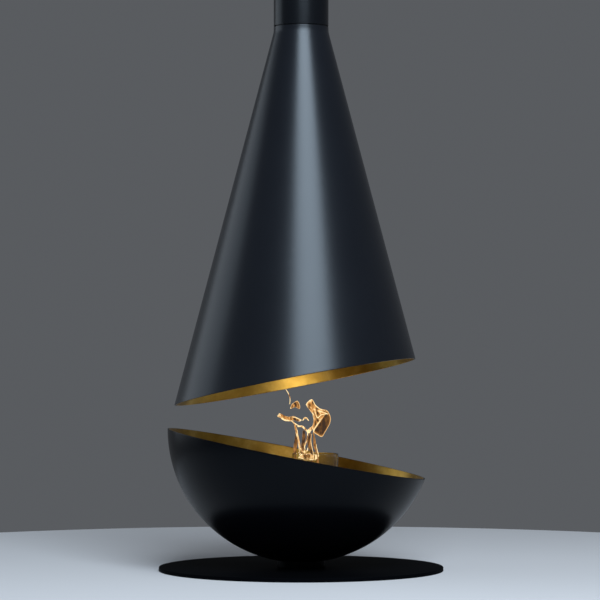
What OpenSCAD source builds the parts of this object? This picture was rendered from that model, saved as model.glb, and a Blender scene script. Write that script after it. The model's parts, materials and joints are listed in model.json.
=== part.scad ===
// Hanging fireplace: a conical hood on a ceiling flue above a half-sphere fire bowl on a floor plate.
// Millimetres. Z is up, the floor is z = 0 and the flue's axis is the Z axis.
// The bowl's low side faces +X. Hood and bowl each turn on a ball bearing about the Z axis.

/* [Bowl] */
// Outside diameter of the bowl's sphere
bowl_d = 730; // [690:1:780]
// Sheet thickness of the bowl
bowl_sheet = 3; // [2:0.5:4]
// Depth of the rim's plane under the sphere's centre, on the axis
rim_drop = 69; // [50:1:80]
// Tilt of the rim's plane, whose high side is at -X
rim_tilt = 11; // [8:0.1:13]
// Height of the bowl's lowest point above the floor plate
bowl_lift = 11; // [10:0.5:14]
// Sheet thickness of the gold linings in bowl and hood
lining_sheet = 1.5; // [1:0.1:2]

/* [Hood] */
// Height of the hood on its axis, from its oblique mouth to its top edge
hood_h = 968; // [900:1:1050]
// Height of the straight neck at the hood's top
hood_neck = 13; // [8:0.5:16]
// Half-angle of the cone
hood_angle = 14.9; // [14.5:0.1:16]
// Sheet thickness of the hood
hood_sheet = 2.5; // [2:0.1:3]
// Open height between bowl rim and hood mouth, on the axis
mouth_gap = 200; // [190:1:260]
// Tilt of the hood's mouth
mouth_tilt = 11.4; // [8:0.1:12]
// Bearing of the mouth's high side at rest, anticlockwise from +X
mouth_turn = -17; // [-180:1:180]

/* [Flue and ceiling] */
// Outside diameter of the flue pipe and of the hood's neck
flue_d = 150; // [150:1:180]
// Wall of the flue pipe
flue_wall = 2; // [1.5:0.1:2.5]
// Height of the ceiling above the floor
ceiling_z = 2400; // [2300:10:2800]
// Height of the shadow gap between flue and hood
seam_gap = 3; // [2:0.5:5]
// Length of the spigot inside the flue
spigot_l = 110; // [100:1:140]
// Wall of the spigot
spigot_wall = 3.5; // [3:0.1:4]
// Depth of the widened socket at the flue's top end
socket_l = 60; // [40:1:80]
// Widening of that socket on the radius
socket_step = 0.6; // [0.4:0.1:0.8]
// Diameter of the ceiling plate
bracket_d = 260; // [250:1:290]
// Thickness of the ceiling plate
bracket_t = 6; // [5:0.5:8]
// Height of the ceiling plate's collar
bracket_collar_l = 50; // [44:1:60]
// Wall of that collar
bracket_collar_wall = 3; // [2.5:0.1:4]
// Circle of the anchor holes in the ceiling plate
anchor_pcd = 220; // [212:1:228]
// Diameter of the anchor holes in the ceiling plate
anchor_hole_d = 10; // [8:0.5:11]
// Diameter of the ceiling rosette
rosette_d = 300; // [295:1:330]
// Height of the ceiling rosette
rosette_h = 96; // [90:1:110]
// Sheet thickness of the rosette
rosette_sheet = 1.5; // [1:0.1:2]

/* [Hood bearing] */
// Depth of the hanging collar welded into the hood's neck
collar_h = 55; // [50:1:65]
// Wall of the hanging collar at its top
collar_wall = 2.3; // [2:0.1:3]
// Thickness of the hood's races
hood_race_h = 8; // [7:0.5:10]
// Ball diameter in the hood's bearing
hood_ball_d = 8; // [7:0.1:8.4]
// Number of balls in the hood's bearing
hood_ball_n = 24; // [12:1:26]
// Height of the slotted ring under the lower race
lock_h = 7; // [6:0.5:9]
// Height of the rope seal under that ring
seal_h = 6; // [5:0.5:8]

/* [Damper] */
// Inside diameter of the damper housing
throat_d = 124; // [118:1:126]
// Wall of the damper housing
throat_wall = 2; // [1.5:0.1:2.5]
// Length of the damper housing
throat_l = 130; // [126:1:150]
// Thickness of the plate that carries the housing
throat_plate_t = 3; // [2.5:0.1:4]
// Thickness of the damper plate
damper_t = 2; // [1.5:0.1:3]
// Diameter of the damper's spindle
spindle_d = 8; // [7:0.1:9]
// Length of the crank between spindle and rod
crank_l = 35; // [30:1:38]
// Thickness of the crank
crank_t = 4; // [3:0.1:5]
// Length of the pull rod
rod_l = 480; // [420:1:520]
// Diameter of the pull rod
rod_d = 6; // [5:0.1:7]
// Length of the rod's grip
grip_l = 70; // [60:1:90]
// Diameter of the rod's grip
grip_d = 16; // [14:0.5:20]

/* [Bowl bearing] */
// Diameter of the pivot post
post_d = 28; // [24:0.5:30]
// Width of the post's flange beyond the post
post_flange_w = 17; // [16:0.5:18]
// Thickness of the bowl's races
bowl_race_h = 5; // [4.5:0.1:5.5]
// Radial width of the bowl's races
bowl_race_w = 20; // [18:0.5:22]
// Ball diameter in the bowl's bearing
bowl_ball_d = 6; // [5:0.1:6.4]
// Number of balls in the bowl's bearing
bowl_ball_n = 20; // [10:1:24]
// Wall of the bronze bush round the post
bush_wall = 4; // [3:0.1:5]
// Radius of the hub's clamping flange
hub_flange_r = 73; // [70:0.5:78]
// Thickness of that flange above the lining
hub_flange_t = 6; // [5:0.1:8]
// Outside diameter of the neck ring under the bowl
neck_d = 130; // [130:0.5:136]
// Wall of the neck ring
neck_wall = 3; // [2:0.1:3.5]
// Width of the pivot nut across its flats
nut_af = 41; // [41:0.5:44]
// Height of the pivot nut
nut_h = 12; // [10:0.5:14]

/* [Burner] */
// Distance of the burner from the bowl's axis, towards +X
burner_x = 39; // [34:1:42]
// Depth of the burner's top face under the rim's plane, on the axis
deck_drop = 71; // [66:1:80]
// Diameter of the burner's can
can_d = 104; // [100:0.5:106]
// Height of the can
can_h = 55; // [50:1:60]
// Sheet thickness of the can
can_sheet = 1.5; // [1:0.1:2]
// Thickness of the burner's top plate
top_t = 3; // [2.5:0.1:4]
// Width of one flame slot in the top plate
slot_angle = 56; // [40:1:56]
// Thickness of the shutter
shutter_t = 1.5; // [1.2:0.1:2]
// Turn of the shutter from open to closed
shutter_turn = 60; // [60:1:60]
// Outside diameter of the glass guard
guard_d = 126; // [124:0.5:130]
// Thickness of the glass
glass_t = 3; // [2.5:0.1:4]
// Height of the glass guard
guard_h = 72.7; // [60:0.1:90]
// Outside diameter of the stand's column
column_d = 66; // [64:0.5:70]
// Wall of the stand's column
column_wall = 3; // [2:0.1:3]
// Thickness of the stand's foot and tray
stand_t = 4; // [3:0.1:5]

/* [Floor plate] */
// Diameter of the floor plate
plate_d = 778; // [740:1:850]
// Thickness of the floor plate
plate_t = 10; // [10:0.5:12]
// Chamfer on the floor plate's upper edge
plate_chamfer = 1.5; // [1:0.1:2]
// Circle of the anchor holes in the floor plate
floor_pcd = 240; // [200:1:280]
// Diameter of the anchor holes in the floor plate
floor_hole_d = 9; // [7:0.5:11]

/* [Clearances] */
// Gap between two sheets that lie one in the other
nest_gap = 0.5; // [0.3:0.1:0.8]
// Gap between pieces that are fitted and do not move
fit_gap = 0.1; // [0.05:0.01:0.2]
// Radial play of a shaft in its bush
run_play = 0.05; // [0.02:0.01:0.1]
// Gap between faces that turn past each other
turn_gap = 0.3; // [0.3:0.05:0.4]
// Radial gap between spigot and turning collar
collar_gap = 0.6; // [0.5:0.1:0.8]

/* [Hidden] */
$fn = 96;

// Colours
black = [0.06, 0.065, 0.075];
gold = [0.8, 0.62, 0.25];
steel = [0.62, 0.63, 0.65];
bronze = [0.66, 0.47, 0.24];

// Heights, from the floor up
bowl_r = bowl_d / 2;
bowl_cz = plate_t + bowl_lift + bowl_r;
rim_z = bowl_cz - rim_drop;
mouth_z = rim_z + mouth_gap;
hood_top = mouth_z + hood_h;
flue_z = hood_top + seam_gap;
big = 2 * bowl_d;

// Cone of the hood
flue_r = flue_d / 2;
cone_z = hood_top - hood_neck;
slope = tan(hood_angle);
mouth_low = mouth_z - tan(mouth_tilt) * (flue_r + slope * hood_h) * 1.1;
function cone_r(z, depth = 0) = flue_r + slope * max(0, cone_z - z) - depth / cos(hood_angle);
function lathe_side(depth, low) = [
    [flue_r - depth, hood_top],
    [flue_r - depth, cone_z - depth * tan(hood_angle / 2)],
    [cone_r(low, depth), low]];
function reversed(list) = [for (i = [len(list) - 1 : -1 : 0]) list[i]];

// Levels in the hood's bearing, from its collar down
collar_z = hood_top - collar_h;
upper_race_z = collar_z - hood_race_h;
hood_ball_r = hood_ball_d / 2;
groove_share = 0.3;
hood_race_gap = hood_ball_d * (1 - groove_share);
lower_race_z = upper_race_z - hood_race_gap;
hood_ball_z = upper_race_z - hood_race_gap / 2;
lock_top = lower_race_z - hood_race_h;
lock_z = lock_top - lock_h;
throat_top = lock_z - seal_h;
lining_top = throat_top - throat_plate_t;

// Radii in the hood's bearing, from the sheet inwards
collar_ir = flue_r - hood_sheet - fit_gap - collar_wall;
spigot_or = collar_ir - collar_gap;
spigot_ir = spigot_or - spigot_wall;
race_or = cone_r(collar_z, hood_sheet) - 2 * turn_gap;
hood_ball_ring = (collar_ir + race_or) / 2;
spigot_up_or = flue_r - flue_wall - fit_gap;
spigot_up_ir = spigot_up_or - spigot_wall;
spigot_shoulder = flue_z + 2;
spigot_top = flue_z + spigot_l;
spigot_screw_z = spigot_top - 20;

// Damper
throat_r = throat_d / 2;
throat_or = throat_r + throat_wall;
spindle_r = spindle_d / 2;
spindle_z = lining_top - throat_l / 2 + 3;
damper_r = throat_r - 1.5;
bush_r = spindle_r + 2;
bush_in = throat_r - 0.9;
bush_flange_t = 3;
bush_flange_w = 3;
bush_out = throat_or + fit_gap + bush_flange_t;
spindle_end = bush_out + 2;
crank_x = spindle_end;
crank_y = crank_l * cos(45);
eye_x = crank_x + crank_t + turn_gap;
eye_t = rod_d;
pin_x = eye_x + eye_t + turn_gap;
pin_r = rod_d / 2;
pin_cap_t = 2;
pin_cap_w = 2;
pin_boss_w = 3;
crank_boss_w = 4;
eye_wall = 4;
rod_z = spindle_z + crank_y;

// Bowl bearing, from the plate up
post_r = post_d / 2;
post_flange_r = post_r + post_flange_w;
bowl_race_ir = post_flange_r + 2;
bowl_race_or = bowl_race_ir + bowl_race_w;
bowl_ball_ring = (bowl_race_ir + bowl_race_or) / 2;
bowl_ball_r = bowl_ball_d / 2;
bowl_race_gap = bowl_ball_d * (1 - groove_share);
bowl_ball_z = plate_t + bowl_race_gap / 2;
bowl_race_z = plate_t + bowl_race_gap;
hub_z = bowl_race_z + bowl_race_h;
recess_r = bowl_race_or + 2;
recess_z = plate_t - bowl_race_h;
lining_r = bowl_r - bowl_sheet - nest_gap;
floor_r = lining_r - lining_sheet;
function inside_z(radius, r) = bowl_cz - sqrt(radius * radius - r * r);
hub_top = inside_z(floor_r, hub_flange_r) + hub_flange_t;
bush_or = post_r + run_play + bush_wall;
washer_t = 2;
washer_r = bush_or + 8;
washer_z = hub_top + turn_gap;
nut_z = washer_z + washer_t;
nut_bevel = 4;
post_top = nut_z + nut_h + 3;
post_screw_ring = (post_r + post_flange_r) / 2;
post_seat_l = bowl_race_h + 4;
post_bevel = 2;
neck_r = neck_d / 2;

// Burner
deck_z = rim_z - deck_drop;
can_top = deck_z - top_t;
can_z = can_top - can_h;
can_r = can_d / 2;
guard_r = guard_d / 2;
gallery_ir = guard_r + 1.5;
gallery_r = gallery_ir + 3;
tray_r = can_r + fit_gap + 3;
shutter_z = can_top - shutter_t - turn_gap;
shutter_r = can_r - can_sheet - 1;
slot_in = 12;
slot_out = shutter_r - 7;
slot_n = 3;
shutter_pin_r = 4;
pin_head_t = 2;
pin_head_w = 3;
lever_w = 8;
lever_r = gallery_r + 10;
knob_r = 5;
knob_l = 16;
foot_z = hub_top;
foot_ir = column_d / 2 - column_wall;
stand_screw_ring = (column_d / 2 + hub_flange_r) / 2;
stand_screw_r = 2.5;
stand_seat_l = stand_t + 8;
guard_z = deck_z + turn_gap;

// Everything under an oblique plane that crosses the axis at z and rises towards the given bearing
module under_plane(z, tilt, bearing)
    translate([0, 0, z]) rotate([0, 0, bearing]) rotate([0, -tilt, 0])
        translate([-big, -big, -2 * big]) cube(2 * big);

// Ring between two radii, standing on z
module ring(outer, inner, z, h)
    translate([0, 0, z]) difference() {
        cylinder(r = outer, h = h);
        translate([0, 0, -1]) cylinder(r = inner, h = h + 2);
    }

// Race ring with a round groove for balls whose centres lie on a ring at ball_z
module race(outer, inner, z, h, ball_ring, ball_z, ball_r)
    difference() {
        ring(outer, inner, z, h);
        translate([0, 0, ball_z]) rotate_extrude() translate([ball_ring, 0])
            circle(r = ball_r + fit_gap, $fn = 48);
    }

// Balls of a bearing, evenly spaced on their ring
module balls(count, ball_ring, ball_z, ball_r)
    for (i = [0 : count - 1]) rotate([0, 0, i * 360 / count])
        translate([ball_ring, 0, ball_z]) sphere(r = ball_r, $fn = 32);

// Flat cage with one round pocket for each ball
module cage(count, ball_ring, ball_z, ball_r)
    difference() {
        ring(ball_ring + ball_r + 1.5, ball_ring - ball_r - 1.5, ball_z - ball_r * 0.2, ball_r * 0.4);
        for (i = [0 : count - 1]) rotate([0, 0, i * 360 / count])
            translate([ball_ring, 0, ball_z - ball_r])
                cylinder(r = ball_r + fit_gap, h = 2 * ball_r, $fn = 32);
    }

// Radial screws that point at the axis: button head outside seat_r, shank in to tip_r
module radial_screws(count, z, seat_r, tip_r, shank_r)
    for (i = [0 : count - 1]) rotate([0, 0, 30 + i * 360 / count]) translate([0, 0, z]) rotate([0, 90, 0]) {
        translate([0, 0, tip_r]) cylinder(r = shank_r, h = seat_r - tip_r, $fn = 32);
        translate([0, 0, seat_r]) difference() {
            cylinder(r1 = shank_r * 1.8, r2 = shank_r * 1.4, h = shank_r, $fn = 32);
            translate([0, 0, shank_r * 0.5]) cylinder(r = shank_r * 0.7, h = shank_r, $fn = 6);
        }
    }

// Radial holes for those screws, from the axis out
module radial_holes(count, z, r)
    for (i = [0 : count - 1]) rotate([0, 0, 30 + i * 360 / count]) translate([0, 0, z]) rotate([0, 90, 0])
        cylinder(r = r, h = bracket_d, $fn = 32);

// Countersunk screws pointing down, with heads flush at top
module flat_screws(count, screw_ring, top, length, shank_r)
    for (i = [0 : count - 1]) rotate([0, 0, 45 + i * 360 / count])
        translate([screw_ring, 0, top]) difference() {
            union() {
                translate([0, 0, -length]) cylinder(r = shank_r, h = length, $fn = 32);
                translate([0, 0, -shank_r]) cylinder(r1 = shank_r, r2 = 2 * shank_r, h = shank_r, $fn = 32);
            }
            translate([0, 0, -shank_r * 0.6]) cylinder(r = shank_r * 0.8, h = shank_r, $fn = 6);
        }

// Seats for those screws: the same form, wider by the fitting gap
module flat_screw_seats(count, screw_ring, top, length, shank_r)
    for (i = [0 : count - 1]) rotate([0, 0, 45 + i * 360 / count]) translate([screw_ring, 0, top]) {
        translate([0, 0, -length - fit_gap]) cylinder(r = shank_r + fit_gap, h = length + 1, $fn = 32);
        translate([0, 0, -shank_r - fit_gap])
            cylinder(
                r1 = shank_r + fit_gap, r2 = 2 * (shank_r + fit_gap), h = shank_r + 2 * fit_gap, $fn = 32);
    }

// Flat pie pieces round the burner's axis, each angle wide, from inner to outer radius
module slots(inner, outer, angle, count, start)
    for (i = [0 : count - 1]) rotate([0, 0, start + i * 360 / count]) intersection() {
        difference() {
            circle(r = outer);
            circle(r = inner);
        }
        polygon([[0, 0], for (a = [-1 : 0.5 : 1]) 2 * outer * [cos(a * angle / 2), sin(a * angle / 2)]]);
    }

// ---- Fixed to the building

flue_screw_z = ceiling_z - bracket_t - bracket_collar_l / 2;
socket_r = flue_r - flue_wall + socket_step;
screw_r = 3;
rosette_screw_r = 2;

module ceiling_bracket() color(black) difference() {
    union() {
        translate([0, 0, ceiling_z - bracket_t]) cylinder(d = bracket_d, h = bracket_t);
        translate([0, 0, ceiling_z - bracket_t - bracket_collar_l])
            cylinder(r = flue_r + fit_gap + bracket_collar_wall, h = bracket_collar_l + 1);
    }
    translate([0, 0, ceiling_z - bracket_t - bracket_collar_l - 1])
        cylinder(r = flue_r + fit_gap, h = bracket_t + bracket_collar_l + 2);
    for (a = [45 : 90 : 315]) rotate([0, 0, a])
        translate([anchor_pcd / 2, 0, ceiling_z - bracket_t - 1])
            cylinder(d = anchor_hole_d, h = bracket_t + 2, $fn = 48);
    radial_holes(3, flue_screw_z, screw_r + fit_gap);
}

rosette_ir = flue_r + turn_gap;
rosette_z = ceiling_z - turn_gap - rosette_h;
rosette_neck = 18;
rosette_lip = 4;

module ceiling_rosette() color(black) difference() {
    rotate_extrude() polygon([
        [rosette_ir, rosette_z],
        [rosette_ir + rosette_sheet, rosette_z],
        [rosette_ir + rosette_sheet, rosette_z + rosette_neck],
        [rosette_d / 2, rosette_z + rosette_h - rosette_lip],
        [rosette_d / 2, rosette_z + rosette_h],
        [rosette_d / 2 - rosette_sheet, rosette_z + rosette_h],
        [rosette_d / 2 - rosette_sheet, rosette_z + rosette_h - rosette_lip + rosette_sheet / 2],
        [rosette_ir, rosette_z + rosette_neck + rosette_sheet]]);
    radial_holes(3, rosette_z + rosette_neck / 2, rosette_screw_r + fit_gap);
}

module rosette_screws() color(black)
    radial_screws(3, rosette_z + rosette_neck / 2, rosette_ir + rosette_sheet, flue_r, rosette_screw_r);

module flue_screws() color(steel)
    radial_screws(3, flue_screw_z, flue_r + fit_gap + bracket_collar_wall, socket_r + fit_gap, screw_r);

module flue_pipe() color(black) difference() {
    ring(flue_r, flue_r - flue_wall, flue_z, ceiling_z - flue_z);
    translate([0, 0, ceiling_z - socket_l]) cylinder(r = socket_r, h = socket_l + 1);
    radial_holes(3, flue_screw_z, screw_r + fit_gap);
    radial_holes(3, spigot_screw_z, screw_r + fit_gap);
}

module flue_spigot() color(black) difference() {
    rotate_extrude() polygon([
        [spigot_or, lock_z],
        [spigot_or, spigot_shoulder],
        [spigot_up_or, spigot_shoulder + spigot_up_or - spigot_or],
        [spigot_up_or, spigot_top],
        [spigot_up_ir, spigot_top],
        [spigot_up_ir, spigot_shoulder + spigot_wall + spigot_up_or - spigot_or],
        [spigot_ir, spigot_shoulder + spigot_wall],
        [spigot_ir, lock_z]]);
    radial_holes(3, spigot_screw_z, screw_r + fit_gap);
}

module spigot_screws() color(black)
    radial_screws(3, spigot_screw_z, flue_r, spigot_up_ir, screw_r);

module hood_lower_race() color(steel)
    race(race_or, spigot_or + fit_gap, lock_top, hood_race_h, hood_ball_ring, hood_ball_z, hood_ball_r);

notch_w = 8;
notch_depth = 4;

module race_lock_ring() color(steel) difference() {
    ring(race_or, spigot_or + fit_gap, lock_z, lock_h);
    // notches for a hook spanner
    for (a = [0 : 90 : 270]) rotate([0, 0, a]) translate([race_or - notch_depth, -notch_w / 2, lock_z - 1])
        cube([2 * notch_depth, notch_w, lock_h * 0.6 + 1]);
}

module base_plate() color(black) difference() {
    rotate_extrude($fn = 180) polygon([
        [0, 0],
        [plate_d / 2 - plate_chamfer / 2, 0],
        [plate_d / 2, plate_chamfer / 2],
        [plate_d / 2, plate_t - plate_chamfer],
        [plate_d / 2 - plate_chamfer, plate_t],
        [0, plate_t]]);
    translate([0, 0, recess_z]) cylinder(r = recess_r, h = plate_t);
    flat_screw_seats(4, post_screw_ring, plate_t, post_seat_l, screw_r);
    for (a = [0 : 90 : 270]) rotate([0, 0, a])
        translate([floor_pcd / 2, 0, -1]) cylinder(d = floor_hole_d, h = plate_t + 2, $fn = 48);
}

module pivot_post() color(steel) difference() {
    rotate_extrude() polygon([
        [0, recess_z],
        [post_flange_r, recess_z],
        [post_flange_r, plate_t],
        [post_r, plate_t],
        [post_r, post_top - post_bevel],
        [post_r - post_bevel, post_top],
        [0, post_top]]);
    flat_screw_seats(4, post_screw_ring, plate_t, post_seat_l, screw_r);
}

module post_screws() color(steel) flat_screws(4, post_screw_ring, plate_t, post_seat_l - 0.5, screw_r);

module bowl_lower_race() color(steel)
    race(bowl_race_or, bowl_race_ir, recess_z, bowl_race_h, bowl_ball_ring, bowl_ball_z, bowl_ball_r);

module pivot_washer() color(steel) ring(washer_r, post_r + fit_gap, washer_z, washer_t);

module pivot_nut() color(steel) translate([0, 0, nut_z]) difference() {
    intersection() {
        cylinder(r = nut_af / 2 / cos(30), h = nut_h, $fn = 6);
        cylinder(r1 = nut_af / 2 + nut_bevel, r2 = nut_af / 2, h = nut_h);
    }
    translate([0, 0, -1]) cylinder(r = post_r + fit_gap, h = nut_h + 2);
}

// ---- Turning hood

module hood_shell() color(black) difference() {
    rotate_extrude($fn = 180)
        polygon(concat(lathe_side(0, mouth_low), reversed(lathe_side(hood_sheet, mouth_low))));
    under_plane(mouth_z, mouth_tilt, mouth_turn);
}

module hood_lining() color(gold) difference() {
    depth = hood_sheet + nest_gap;
    rotate_extrude($fn = 180) polygon([
        [cone_r(lining_top, depth), lining_top],
        [cone_r(mouth_low, depth), mouth_low],
        [cone_r(mouth_low, depth + lining_sheet), mouth_low],
        [cone_r(lining_top, depth + lining_sheet), lining_top]]);
    under_plane(mouth_z, mouth_tilt, mouth_turn);
}

module hood_collar() color(steel)
    rotate_extrude() polygon(concat(
        [[collar_ir, hood_top]], lathe_side(hood_sheet + fit_gap, collar_z), [[collar_ir, collar_z]]));

module hood_upper_race() color(steel)
    race(race_or, collar_ir, upper_race_z, hood_race_h, hood_ball_ring, hood_ball_z, hood_ball_r);

module damper_housing() color(black) difference() {
    depth = hood_sheet + fit_gap;
    rotate_extrude() polygon([
        [throat_r, lining_top - throat_l],
        [throat_or, lining_top - throat_l],
        [throat_or, lining_top],
        [cone_r(lining_top, depth), lining_top],
        [cone_r(throat_top, depth), throat_top],
        [throat_r, throat_top]]);
    translate([0, 0, spindle_z]) rotate([0, 90, 0])
        cylinder(r = bush_r + fit_gap, h = 3 * throat_r, center = true, $fn = 48);
}

module damper_bushes() color(bronze) for (side = [0, 180]) rotate([0, 0, side])
    translate([0, 0, spindle_z]) rotate([0, 90, 0]) difference() {
        union() {
            translate([0, 0, bush_in]) cylinder(r = bush_r, h = bush_out - bush_in, $fn = 48);
            translate([0, 0, bush_out - bush_flange_t])
                cylinder(r = bush_r + bush_flange_w, h = bush_flange_t, $fn = 48);
        }
        translate([0, 0, bush_in - 1])
            cylinder(r = spindle_r + run_play, h = bush_out - bush_in + 2, $fn = 48);
    }

module flue_seal() color([0.75, 0.73, 0.68])
    ring(spigot_ir + 2 * seal_h, spigot_ir, throat_top, seal_h - turn_gap);

module hood_ball_cage() color(bronze) cage(hood_ball_n, hood_ball_ring, hood_ball_z, hood_ball_r);

module hood_balls() color(steel) balls(hood_ball_n, hood_ball_ring, hood_ball_z, hood_ball_r);

// ---- Damper, upright when open, and its pull rod

flat_l = damper_r + turn_gap;
damper_screw_x = damper_r / 2;
damper_screw_r = 1.5;
damper_screw_head = 1.6;
vent_w = 24;
vent_h = 10;

module damper_plate() color(steel) translate([0, 0, spindle_z]) difference() {
    rotate([-90, 0, 0]) cylinder(r = damper_r, h = damper_t);
    // vent notch that keeps a draught when the damper is closed
    translate([-vent_w / 2, -1, damper_r - vent_h]) cube([vent_w, damper_t + 2, 2 * vent_h]);
    for (x = [-damper_screw_x, damper_screw_x]) translate([x, -1, 0]) rotate([-90, 0, 0])
        cylinder(r = damper_screw_r + fit_gap, h = damper_t + 2, $fn = 32);
}

module damper_spindle() color(steel) translate([0, 0, spindle_z]) difference() {
    translate([-spindle_end, 0, 0]) rotate([0, 90, 0])
        cylinder(r = spindle_r, h = 2 * spindle_end + crank_t, $fn = 48);
    translate([-flat_l, 0, -spindle_r - 1]) cube([2 * flat_l, spindle_r + 1, spindle_d + 2]);
    for (x = [-damper_screw_x, damper_screw_x]) translate([x, -spindle_r - 1, 0]) rotate([-90, 0, 0])
        cylinder(r = damper_screw_r + fit_gap, h = spindle_d + 2, $fn = 32);
}

module damper_screws() color(steel) for (x = [-damper_screw_x, damper_screw_x])
    translate([x, 0, spindle_z]) rotate([-90, 0, 0]) {
        translate([0, 0, -spindle_r]) cylinder(r = damper_screw_r, h = spindle_r + damper_t, $fn = 32);
        translate([0, 0, damper_t])
            cylinder(r1 = 2 * damper_screw_r, r2 = 1.5 * damper_screw_r, h = damper_screw_head, $fn = 32);
    }

module damper_crank() color(steel) translate([crank_x, 0, spindle_z]) rotate([45, 0, 0]) difference() {
    union() {
        rotate([0, 90, 0]) cylinder(r = spindle_r + crank_boss_w, h = crank_t, $fn = 48);
        translate([0, crank_l, 0]) rotate([0, 90, 0]) cylinder(r = pin_r + pin_boss_w, h = crank_t, $fn = 48);
        translate([0, 0, -pin_r - 1]) cube([crank_t, crank_l, 2 * pin_r + 2]);
        translate([0, crank_l, 0]) rotate([0, 90, 0]) cylinder(r = pin_r, h = pin_x - crank_x, $fn = 48);
        translate([pin_x - crank_x, crank_l, 0]) rotate([0, 90, 0])
            cylinder(r = pin_r + pin_cap_w, h = pin_cap_t, $fn = 48);
    }
    translate([-1, 0, 0]) rotate([0, 90, 0]) cylinder(r = spindle_r + fit_gap, h = crank_t + 2, $fn = 48);
}

rod_end = rod_z - rod_l;
grip_bore = 12;

module damper_rod() color(steel) translate([eye_x, crank_y, 0]) difference() {
    union() {
        translate([0, 0, rod_z]) rotate([0, 90, 0]) cylinder(r = pin_r + eye_wall, h = eye_t, $fn = 48);
        translate([eye_t / 2, 0, rod_end]) cylinder(d = rod_d, h = rod_l - pin_r - eye_wall / 2, $fn = 48);
    }
    translate([-1, 0, rod_z]) rotate([0, 90, 0]) cylinder(r = pin_r + run_play, h = eye_t + 2, $fn = 48);
}

module rod_grip() color(black) translate([eye_x + eye_t / 2, crank_y, rod_end - grip_bore])
    rotate_extrude() polygon([
        [0, 0],
        [grip_d * 0.3, 0],
        [grip_d / 2, grip_d * 0.25],
        [grip_d / 2, grip_l * 0.4],
        [grip_d * 0.36, grip_l * 0.85],
        [grip_d * 0.3, grip_l],
        [rod_d / 2 + fit_gap, grip_l],
        [rod_d / 2 + fit_gap, grip_bore],
        [0, grip_bore]]);

// ---- Turning bowl

module bowl_skin(radius, sheet, hole_r) difference() {
    translate([0, 0, bowl_cz]) sphere(r = radius, $fn = 180);
    translate([0, 0, bowl_cz]) sphere(r = radius - sheet, $fn = 180);
    // the rim's plane, turned over so that the part above it goes
    translate([0, 0, rim_z]) rotate([0, rim_tilt, 0]) translate([-big, -big, 0]) cube(2 * big);
    translate([0, 0, -1]) cylinder(r = hole_r, h = bowl_cz);
}

module bowl_shell() color(black) bowl_skin(bowl_r, bowl_sheet, bowl_race_or + fit_gap);

module bowl_lining() color(gold) bowl_skin(lining_r, lining_sheet, bowl_race_or + fit_gap);

module bowl_hub() color(steel) difference() {
    union() {
        translate([0, 0, hub_z]) cylinder(r = bowl_race_or, h = hub_top - hub_z);
        intersection() {
            translate([0, 0, hub_z]) cylinder(r = hub_flange_r, h = hub_top - hub_z);
            translate([0, 0, bowl_cz]) sphere(r = floor_r - fit_gap, $fn = 180);
        }
    }
    translate([0, 0, hub_z - 1]) cylinder(r = bush_or + fit_gap, h = hub_top - hub_z + 2);
    flat_screw_seats(4, stand_screw_ring, foot_z + stand_t, stand_seat_l, stand_screw_r);
}

module hub_bush() color(bronze) ring(bush_or, post_r + run_play, hub_z, hub_top - hub_z);

module bowl_upper_race() color(steel)
    race(bowl_race_or, bowl_race_ir, bowl_race_z, bowl_race_h, bowl_ball_ring, bowl_ball_z, bowl_ball_r);

module neck_ring() color(black) difference() {
    ring(neck_r, neck_r - neck_wall, plate_t + turn_gap, bowl_lift + neck_r);
    translate([0, 0, bowl_cz]) sphere(r = bowl_r + fit_gap, $fn = 180);
}

tray_z = can_z - stand_t;
tray_lip = 8;
gusset_t = 4;
gusset_h = 60;
gusset_side = 16;
gusset_root = column_d / 2 - 5;
gusset_toe = 4;

module burner_stand() color(black) difference() {
    union() {
        ring(hub_flange_r, foot_ir, foot_z, stand_t);
        ring(column_d / 2, foot_ir, foot_z, tray_z - foot_z);
        translate([0, 0, tray_z]) cylinder(d = column_d, h = stand_t);
        translate([0, -column_d / 2, tray_z]) cube([burner_x, column_d, stand_t]);
        translate([burner_x, 0, tray_z]) cylinder(r = tray_r, h = stand_t);
        translate([burner_x, 0, 0]) ring(tray_r, can_r + fit_gap, can_z, tray_lip);
        // gussets under the tray's free side
        for (y = [-gusset_side, gusset_side]) translate([0, y + gusset_t / 2, tray_z + 1]) rotate([90, 0, 0])
            linear_extrude(gusset_t) polygon([
                [gusset_root, 0],
                [burner_x + tray_r - gusset_side, 0],
                [gusset_root + gusset_toe, -gusset_h],
                [gusset_root, -gusset_h]]);
    }
    flat_screw_seats(4, stand_screw_ring, foot_z + stand_t, stand_seat_l, stand_screw_r);
}

module stand_screws() color(steel)
    flat_screws(4, stand_screw_ring, foot_z + stand_t, stand_seat_l - 0.5, stand_screw_r);

lever_swing = shutter_turn / 2;
lever_room = 16;
fibre_drop = 14;
gallery_h = 4;
slot_start = 30;

module burner_can() color(steel) translate([burner_x, 0, 0]) difference() {
    translate([0, 0, can_z]) cylinder(r = can_r, h = can_h);
    translate([0, 0, can_z + can_sheet]) cylinder(r = can_r - can_sheet, h = can_h);
    translate([0, 0, shutter_z - turn_gap]) linear_extrude(can_h)
        slots(can_r - can_sheet - 2, can_r + 2, shutter_turn + lever_room, 1, 0);
}

module fibre_fill() color([0.9, 0.9, 0.87]) translate([burner_x, 0, can_z + can_sheet])
    cylinder(r = can_r - can_sheet - fit_gap, h = can_h - can_sheet - fibre_drop);

module burner_top() color(steel) translate([burner_x, 0, 0]) difference() {
    union() {
        translate([0, 0, can_top]) cylinder(r = gallery_r, h = top_t);
        ring(gallery_r, gallery_ir, can_top, top_t + gallery_h);
    }
    translate([0, 0, can_top - 1]) linear_extrude(top_t + 2)
        slots(slot_in, slot_out, slot_angle, slot_n, slot_start);
    translate([0, 0, can_top - 1]) cylinder(r = shutter_pin_r + fit_gap, h = top_t + 2, $fn = 48);
}

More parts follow.
